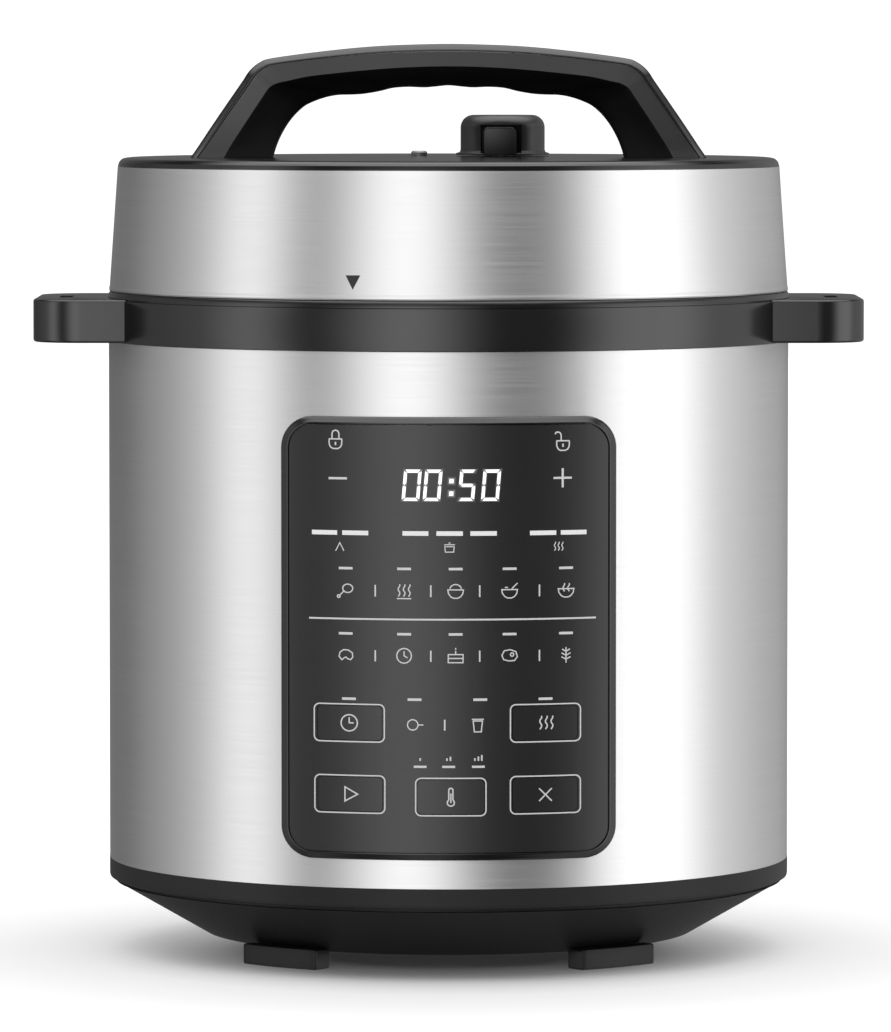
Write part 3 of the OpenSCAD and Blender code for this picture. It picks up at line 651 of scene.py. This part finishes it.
def foot(azimuth):
    ca, sa = math.cos(math.radians(azimuth)), math.sin(math.radians(azimuth))

    def place(section, u):
        return [(r * ca - u * sa, r * sa + u * ca, z) for r, z in section]

    stations = [(e - FOOT_HALF, d) for e, d in FOOT_ENDS]
    stations += [(v * FOOT_STEP, 0.0) for v in range(-7, 8)]
    stations += [(FOOT_HALF - e, d) for e, d in reversed(FOOT_ENDS)]
    block = [place(foot_section(u, d), u) for u, d in stations]
    neck = [place([(math.sqrt(r * r - u * u), z) for r, z in NECK], u) for u in range(-12, 13, 4)]
    return join([loft("block", block, M["feet"], "base", 40),
                 loft("neck", neck, M["feet"], "base", 40)], "foot")


feet = join([foot(a) for a in FOOT_AT], "feet")
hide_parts("rubber_feet")

# ------------------------------------------------------------------ sensor spring and cup
SPRING_R, SPRING_WIRE, SPRING_TURNS = 8.0, 0.7, 5
SPRING_Z0, SPRING_Z1, SENSOR_TRAVEL = 57.5, 73.3, 2
COIL_STEPS = 160


def coil_section(share):
    """The wire's round section at a share of the coil's length."""
    a = 2 * math.pi * SPRING_TURNS * share
    z = SPRING_Z0 + SPRING_WIRE + (SPRING_Z1 - SPRING_Z0 - 2 * SPRING_WIRE) * share
    wire = circle(SPRING_R, z, SPRING_WIRE, 8)
    return [(r * math.cos(a), r * math.sin(a), h) for r, h in wire]


coil = loft("sensor_coil", [coil_section(i / COIL_STEPS) for i in range(COIL_STEPS + 1)],
            M["screw_steel"], "thermal_sensor", 60)
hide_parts("sensor_spring")
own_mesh(coil)

CUP_Y, CUP_WIDE, CUP_DEEP, CUP_CORNER = 147, 58, 24, 6
# up the outside, over the rim and down the inside: (z, outline drawn in)
CUP_ROWS = [(184, 3.0), (184.2, 1.8), (184.8, 0.8), (185.8, 0.2), (187, 0), (221.4, 0), (223.6, 0),
            (223.9, 0.15), (224, 0.5), (224, 1.2), (223.8, 1.5), (223.4, 1.6), (188, 1.6),
            (186.6, 2.0), (185.8, 3.0), (185.6, 4.4)]
cup_loops = [[(x, y, z) for x, y in rounded(0, CUP_Y, CUP_WIDE - 2 * d, CUP_DEEP - 2 * d,
                                            CUP_CORNER - d, 8)] for z, d in CUP_ROWS]
cup = loft("cup_shell", cup_loops, M["cup"], "condensation_cup", 40)
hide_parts("condensation_cup")

# ------------------------------------------------------------------ panel frame
# (bottom, top, half width, corner) of the rim, and of the wall that passes through the housing
RIM = (46.1, 212.5, 63, 12)
WALL = (54.6, 205.4, 55.4, 5)
# sections: (drawn in, distance from the body's axis)
RIM_ROWS = [(0, 132.7), (0, 133.05), (0.08, 133.25), (0.22, 133.4), (0.9, 133.78), (1.6, 134.16),
            (1.85, 134.32), (2.05, 134.45), (2.25, 134.55), (2.45, 134.6), (2.6, 134.55),
            (2.7, 134.4), (2.74, 134.1), (2.76, 133.6), (3.0, 133.55), (3.0, 132.7)]
WALL_ROWS = [(0, 132.9), (1.9, 132.9), (1.9, 118.2), (0, 118.2)]
CORNER_STEPS, SIDE_STEPS = 12, 28


def wrap(z0, z1, half, corner, r, d):
    """A rounded rectangle laid round the cylinder of radius r, drawn in by d."""
    ol = rounded(0, (z0 + z1) / 2, 2 * (half - d), z1 - z0 - 2 * d, corner - d, CORNER_STEPS)
    lp = []
    for q, a in enumerate(ol):
        b = ol[(q + 1) % len(ol)]
        steps = SIDE_STEPS if (q + 1) % (CORNER_STEPS + 1) == 0 else 1
        for t in range(steps):
            x, z = a[0] + (b[0] - a[0]) * t / steps, a[1] + (b[1] - a[1]) * t / steps
            lp.append((x, -math.sqrt(r * r - x * x), z))
    return lp


def band(name, rows, size):
    return loft(name, [wrap(*size, r, d) for d, r in rows], M["bezel"], "base", 30,
                closed=True)


bezel = join([band("panel_rim", RIM_ROWS, RIM), band("panel_wall", WALL_ROWS, WALL)], "panel_frame")
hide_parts("panel_bezel")

# ------------------------------------------------------------------ printed marks
# how far from the axis each layer of print lies, just proud of the overlay
MARK_R, BAR_R, DIGIT_R = 134.26, 134.27, 134.34
# widths of line
LOCK_LINE, ICON_LINE, SMALL_LINE, KEY_LINE = 0.48, 0.44, 0.36, 0.5
PADLOCK = [(-2.4, -0.6), (-2.3, -1.9), (-1.8, -2.9), (-0.9, -3.4), (0.9, -3.4), (1.8, -2.9),
           (2.3, -1.9), (2.4, -0.6), (2.3, 0.2), (-2.3, 0.2)]
SHACKLE_SHUT = [(-1.3, 0.2), (-1.3, 2.2), (-1.0, 3.1), (0, 3.5), (1.0, 3.1), (1.3, 2.2), (1.3, 0.2)]
SHACKLE_OPEN = [(-0.7, 0.2), (-0.7, 2.3), (-1.0, 3.1), (-1.7, 3.5), (-2.6, 3.4), (-3.0, 2.7)]


def moved(pts, x, z):
    return [(x + px, z + pz) for px, pz in pts]


marks = Print(MARK_R)
for x, z, shackle in ((-42.4, 203.9, SHACKLE_SHUT), (42.8, 203.2, SHACKLE_OPEN)):
    marks.stroke(moved(PADLOCK, x, z), LOCK_LINE, True)
    marks.stroke([(x, z - 0.9), (x, z - 2.1)], 0.6)
    marks.stroke(moved(shackle, x, z), LOCK_LINE)
# minus and plus
marks.dash(-41.55, 189.375, 6.9, 0.85)
marks.dash(42.7, 189.5, 6.9, 0.8)
marks.dash(42.7, 189.5, 0.8, 7.2)

# the bars that light up to show the stage of cooking
BAR_Z0, BAR_Z1 = 168.15, 169.85
bars = Print(BAR_R)
for left, right in ((-51.3, -41.8), (-39.9, -30.1), (-17.3, -7.6), (-4.6, 5.3), (8.1, 18.0),
                    (30.4, 40.3), (42.0, 51.7)):
    bars.rect(left, BAR_Z0, right, BAR_Z1)
bars.build("status_bars", M["print_bright"], "base")

# short dashes over the functions, the keys and the levels
FUNCTION_X = (-38.6, -16.7, 2.6, 22.8, 44.0)
KEY_DASH_X = (-37.4, -12.8, 11.8, 36.3)
LEVEL_X = (-10.7, 0.0, 11.1)
DASH, LEVEL_DASH = 5.2, 4.8
for z in (155.7, 131.2):
    for x in FUNCTION_X:
        marks.dash(x, z, DASH, 0.94)
for x in KEY_DASH_X:
    marks.dash(x, 106.675, DASH, 0.95)
for x in LEVEL_X:
    marks.dash(x, 81.475, LEVEL_DASH, 0.85)
# dividers
marks.rect(-52.4, 136.4, 55.3, 137.05)
for x in (-27.5, -6.7, 11.6, 34.0):
    marks.dash(x, 147.4, 0.56, 4.4)
    marks.dash(x, 123.0, 0.56, 4.2)
marks.dash(-1.5, 97.15, 0.6, 4.1)
# the frames of the five keys, each with its middle and its pictogram
KEYS = {"key_delay_start": (-37.3, 97.6, "clock"), "key_keep_warm": (36.3, 97.6, "warm"),
        "key_start": (-37.1, 70.8, "play"), "key_temp_set": (0.8, 70.1, "thermo"),
        "key_cancel": (36.3, 70.6, "stop")}
KEY_WIDE, KEY_HIGH, KEY_CORNER = 26.35, 14.1, 2.0
for x, z, icon in KEYS.values():
    marks.stroke(rounded(x, z, KEY_WIDE, KEY_HIGH, KEY_CORNER, 5), KEY_LINE, True)

# pictograms on a ten by ten grid
BOWL = [("o", (-4.6, 0.6), (4.6, 0.6), (4.2, -1.6), (2.9, -3.4), (1.2, -4.3), (-1.2, -4.3),
         (-2.9, -3.4), (-4.2, -1.6))]


def wave(x):
    return [(x, -3.4), (x + 0.9, -2.0), (x + 0.9, -1.0), (x, 0.4), (x, 1.4), (x + 0.9, 2.8),
            (x + 0.9, 3.8)]


ICONS = {
    "poultry": [["o"] + circle(1.2, 1.0, 3.0, 12, 2.5), [(-1.2, -0.8), (-3.6, -3.2)],
                ["o"] + circle(-4.1, -3.7, 0.8, 8)],
    "steam": [wave(-3.4), wave(-0.4), wave(2.6), [(-4.2, -4.6), (4.2, -4.6)]],
    "rice": BOWL + [arc(0, 0.8, 3.4, 10, 170, 8, 3.0)],
    "porridge": BOWL + [[(1.2, 1.0), (4.6, 4.4)], [(-2.8, 1.9), (-1.0, 1.9)]],
    "soup": BOWL + [wave(-1.8)[2:], wave(1.0)[2:]],
    "bean": [["o", (-3.8, -0.8), (-3.2, 1.6), (-1.2, 3.0), (1.6, 2.8), (3.8, 1.2), (4.0, -1.2),
              (2.8, -2.6), (1.2, -2.2), (0.2, -1.2), (-0.8, -1.6), (-2.2, -2.8)]],
    "slow": [["o"] + circle(0, 0, 4.2, 16), [(0, 2.6), (0, 0), (2.0, -1.2)]],
    "cake": [["o", (-4.2, -3.8), (4.2, -3.8), (4.2, 0.8), (-4.2, 0.8)],
             [(-4.2, -1.4), (4.2, -1.4)], [(0, 0.8), (0, 3.0)], [(0, 3.6), (0, 4.6)]],
    "meat": [["o", (-4.4, 0.2), (-3.0, 2.8), (0.4, 3.4), (3.6, 2.2), (4.4, -0.6), (2.8, -2.8),
              (-0.6, -3.0), (-3.4, -2.2)], ["o"] + circle(1.4, 0.6, 1.0, 8)],
    "grain": [[(0, -4.6), (0, 4.2)], [(-2.6, 1.0), (0, -0.4), (2.6, 1.0)],
              [(-2.6, -1.2), (0, -2.6), (2.6, -1.2)], [(-2.2, 3.2), (0, 1.8), (2.2, 3.2)]],
    "saute": [["o"] + circle(-1.4, 0, 3.2, 14), [(1.8, 0), (5.0, 0)]],
    "yogurt": [["o", (-2.8, 2.4), (2.8, 2.4), (2.1, -4.2), (-2.1, -4.2)],
               [(-3.6, 3.4), (3.6, 3.4)]],
    "heat": [[(-3.4, -3.6), (0, 3.2), (3.4, -3.6)]],
    "pot": [["o", (-3.8, 0.6), (3.8, 0.6), (3.4, -3.8), (-3.4, -3.8)], [(-4.4, 2.2), (4.4, 2.2)],
            [(-0.8, 3.6), (0.8, 3.6)]],
    "warm": [wave(-3.0), wave(0), wave(3.0)],
    "clock": [["o"] + circle(0, 0, 4.4, 18), [(0, 3.0), (0, 0), (2.4, 0)]],
    "play": [["o", (-2.6, -3.8), (4.2, 0), (-2.6, 3.8)]],
    "thermo": [["o", (-1.1, -1.4), (-1.1, 4.0), (-0.5, 4.7), (0.5, 4.7), (1.1, 4.0), (1.1, -1.4),
                (1.9, -2.6), (1.7, -4.0), (0.6, -4.8), (-0.6, -4.8), (-1.7, -4.0), (-1.9, -2.6)],
               [(0, -3.2), (0, 2.0)]],
    "stop": [[(-3.4, -3.4), (3.4, 3.4)], [(-3.4, 3.4), (3.4, -3.4)]],
}
# rows of pictograms: names, places, height on the panel, size, line
ICON_ROWS = [
    (("poultry", "steam", "rice", "porridge", "soup"), FUNCTION_X, 147.5, 6.4, ICON_LINE),
    (("bean", "slow", "cake", "meat", "grain"), FUNCTION_X, 123.1, 6.6, ICON_LINE),
    (("saute", "yogurt"), (-12.6, 10.9), 97.2, 6.2, ICON_LINE),
    (("heat", "pot", "warm"), (-40.8, 0.3, 41.0), 163.8, 4.6, SMALL_LINE),
]
for names, places, z, size, line in ICON_ROWS:
    for name, x in zip(names, places):
        marks.icon(ICONS[name], x, z, size, line)
# one, two and three rising bars for the levels
LEVEL_PITCH, LEVEL_WIDE, LEVEL_RISE, LEVEL_Z = 1.3, 0.6, 0.6, 83.7
for n, x in enumerate(LEVEL_X, 1):
    for k in range(n):
        left = x + LEVEL_PITCH * (k - (n - 1) / 2) - LEVEL_WIDE / 2
        marks.rect(left, LEVEL_Z, left + LEVEL_WIDE, LEVEL_Z + 1 + LEVEL_RISE * k)
marks.build("panel_marks", M["print_painted_glow"], "base")

KEY_ICON = 7.0
for key, (x, z, icon) in KEYS.items():
    picture = Print(MARK_R)
    picture.icon(ICONS[icon], x, z, KEY_ICON, KEY_LINE)
    picture.build(key.replace("key_", "icon_"), M["print_painted_glow"], key)

# ------------------------------------------------------------------ clock digits
# each digit with its left and right edge
CLOCK = (("0", -17.1, -10.6), ("0", -9.2, -2.8), ("5", 3.9, 9.9), ("0", 12.6, 19.1))
CLOCK_Z0, CLOCK_Z1 = 181.2, 192.9
SEGMENTS = {"0": "abcdef", "5": "afgcd"}
SEG_WIDE, SEG_GAP, SLANT = 1.12, 0.2, 0.085
# how far the tips of the bars are drawn in
TIP_ACROSS, TIP_UP, TIP_MIDDLE = 0.35, 0.45, 0.4
# rings of light round the digits: (how far they swell, distance from the axis, material)
HALOS = ((0.35, 134.32, "halo_in"), (0.75, 134.3, "halo_mid"), (1.25, 134.28, "halo_out"))


def digit_polys(ch, x0, x1):
    middle = (CLOCK_Z0 + CLOCK_Z1) / 2
    half = SEG_WIDE / 2
    inset = SEG_WIDE + SEG_GAP

    def outer_bar(z, up):
        # the top or the bottom bar; up is 1 for the top one and -1 for the bottom one
        tip = SEG_GAP + TIP_ACROSS
        return [(x0 + tip, z), (x1 - tip, z), (x1 - inset, z - up * SEG_WIDE),
                (x0 + inset, z - up * SEG_WIDE)]

    def middle_bar():
        tip = half + SEG_GAP
        return [(x0 + tip, middle), (x0 + inset, middle + half), (x1 - inset, middle + half),
                (x1 - tip, middle), (x1 - inset, middle - half), (x0 + inset, middle - half)]

    def upright(right, up):
        end = CLOCK_Z1 if up == 1 else CLOCK_Z0
        outer, inner = (x1, x1 - SEG_WIDE) if right else (x0, x0 + SEG_WIDE)
        return [(outer, end - up * (SEG_GAP + TIP_UP)), (outer, middle + up * (SEG_GAP + TIP_MIDDLE)),
                ((outer + inner) / 2, middle + up * SEG_GAP), (inner, middle + up * (SEG_GAP + half)),
                (inner, end - up * inset)]

    bars = {"a": outer_bar(CLOCK_Z1, 1), "g": middle_bar(), "d": outer_bar(CLOCK_Z0, -1),
            "f": upright(False, 1), "b": upright(True, 1), "e": upright(False, -1),
            "c": upright(True, -1)}
    return [[(x + (z - middle) * SLANT, z) for x, z in bars[s]] for s in SEGMENTS[ch]]


def swell(poly, d):
    """Move each corner away from the middle by d."""
    c = Vector((sum(p[0] for p in poly) / len(poly), sum(p[1] for p in poly) / len(poly)))
    return [tuple(Vector(p) + (Vector(p) - c).normalized() * d) for p in poly]


digits = [pl for ch, x0, x1 in CLOCK for pl in digit_polys(ch, x0, x1)]
# the two dots of the colon lean like the digits
DOT, DOT_LEAN = 1.5, 0.1
digits += [[(x, z), (x + DOT, z), (x + DOT + DOT_LEAN, z + DOT), (x + DOT_LEAN, z + DOT)]
           for x, z in ((0.25, 187.9), (0.15, 183.2))]
lit = Print(DIGIT_R)
for pl in digits:
    lit.poly(pl)
lit.build("clock_digits", M["digit"], "base")
for n, (d, r, mat) in enumerate(HALOS, 1):
    halo = Print(r)
    for pl in digits:
        halo.poly(swell(pl, d))
    halo.build("clock_halo_%d" % n, M[mat], "base")

# ------------------------------------------------------------------ the pointer on the lid
# the band narrows from its foot to its top, and the pointer lies just proud of it
BAND_R0, BAND_R1, BAND_Z0, BAND_Z1 = 132.1, 128.9, 258.0, 304.3
POINTER = [(-2.85, 265.3), (0.0, 259.9), (2.85, 265.3)]
POINTER_TURN = -15.8
PROUD = 0.04


def band_radius(z):
    return BAND_R0 + PROUD - (z - BAND_Z0) * (BAND_R0 - BAND_R1) / (BAND_Z1 - BAND_Z0)


pointer = Print(band_radius)
pointer.poly(POINTER)
pointer.build("lid_pointer", M["mark"], "lid", turn=math.radians(POINTER_TURN))

# ------------------------------------------------------------------ camera
# the places and sizes of the camera, the floor and the lamp are in metres
CAMERA_AT = (-0.0012, -3.054, 0.347)
CAMERA_DOWN = 3.36
camera = bpy.data.cameras.new("camera")
camera.sensor_width = 36.0
camera.lens = 273.0
camera.clip_end = 50.0
camera_object = bpy.data.objects.new("camera", camera)
camera_object.location = CAMERA_AT
camera_object.rotation_euler = (math.radians(90 - CAMERA_DOWN), 0, 0)
scene.collection.objects.link(camera_object)
scene.camera = camera_object

# ------------------------------------------------------------------ floor
FLOOR_R = 6.0
# a table top whose glow is painted: a painted shadow under the object and a little in front of it:
# (share of SHADOW_R from the middle, brightness)
SHADOW_Y, SHADOW_R = 0.035, 0.4
SHADOW = [(0.12, 0.02), (0.2, 0.1), (0.25, 0.24), (0.29, 0.34), (0.34, 0.43), (0.42, 0.46),
          (0.5, 0.52), (1.0, 0.75)]

bm = bmesh.new()
bmesh.ops.create_circle(bm, cap_ends=True, segments=96, radius=FLOOR_R)
floor = bpy.data.objects.new("floor", mesh_of(bm, "floor"))
scene.collection.objects.link(floor)
floor_mat, nt, bsdf = new_mat("floor")
bsdf.inputs["Base Color"].default_value = (0.5, 0.5, 0.5, 1)
bsdf.inputs["Roughness"].default_value = 0.6
bsdf.inputs["Specular IOR Level"].default_value = 0.2
forward = nt.nodes.new("ShaderNodeVectorMath")
forward.inputs[1].default_value = (0, SHADOW_Y, 0)
nt.links.new(coordinates(nt, "Object"), forward.inputs[0])
distance = nt.nodes.new("ShaderNodeVectorMath")
distance.operation = "LENGTH"
nt.links.new(forward.outputs["Vector"], distance.inputs[0])
shade = ramp(nt, spread(nt, distance.outputs["Value"], 0.0, SHADOW_R), SHADOW)
# the emission paints the shadow onto the floor
nt.links.new(shade, bsdf.inputs["Emission Color"])
bsdf.inputs["Emission Strength"].default_value = 1.0
floor.data.materials.append(floor_mat)
floor.visible_glossy = False

# ------------------------------------------------------------------ light
# soft boxes round the object: (degrees left or right of the camera, brightness)
BOXES = [(-180, 0.17), (-140, 0.13), (-116, 0.27), (-95, 0.44), (-70, 1.21), (-47, 0.18),
         (-14, 1.42), (18, 0.11), (35, 0.12), (63, 1.4), (80, 1.4), (104, 0.62), (140, 0.4),
         (180, 0.17)]
# how the ring of boxes fades with height: below it the dark side of the table
RING_FADE = [(0.14, 0.3), (0.33, 1.0), (0.69, 1.0), (0.79, 0.15)]
# where the bright ceiling begins
CEILING_FADE = [(0.81, 0.0), (0.88, 1.0)]
CEILING = 1.7
BACKDROP = 1.1

world = bpy.data.worlds.new("studio")
scene.world = world
world.use_nodes = True
nt = world.node_tree
nt.nodes.clear()
x, y, z = split(nt, coordinates(nt, "Generated"))
azimuth = maths(nt, "ARCTAN2", x, maths(nt, "MULTIPLY", y, -1.0))
around_ring = spread(nt, azimuth, -math.pi, math.pi)
height = spread(nt, z, -1.0, 1.0)
boxes = ramp(nt, around_ring, [((a + 180) / 360, v) for a, v in BOXES], ease=True)
walls = mix(nt, 1.0, boxes, ramp(nt, height, RING_FADE), "MULTIPLY")
studio = mix(nt, ramp(nt, height, CEILING_FADE), walls, CEILING)
seen = nt.nodes.new("ShaderNodeLightPath").outputs["Is Camera Ray"]
background = nt.nodes.new("ShaderNodeBackground")
nt.links.new(mix(nt, seen, studio, BACKDROP), background.inputs["Color"])
output = nt.nodes.new("ShaderNodeOutputWorld")
nt.links.new(background.outputs["Background"], output.inputs["Surface"])

lamp = bpy.data.lights.new("overhead", "AREA")
lamp.shape = "DISK"
lamp.size = 2.4
lamp.energy = 6.0
lamp_object = bpy.data.objects.new("overhead", lamp)
lamp_object.location = (0, -0.2, 2.6)
scene.collection.objects.link(lamp_object)

scene.view_settings.view_transform = "Standard"
scene.view_settings.look = "None"
scene.view_settings.exposure = 0.0
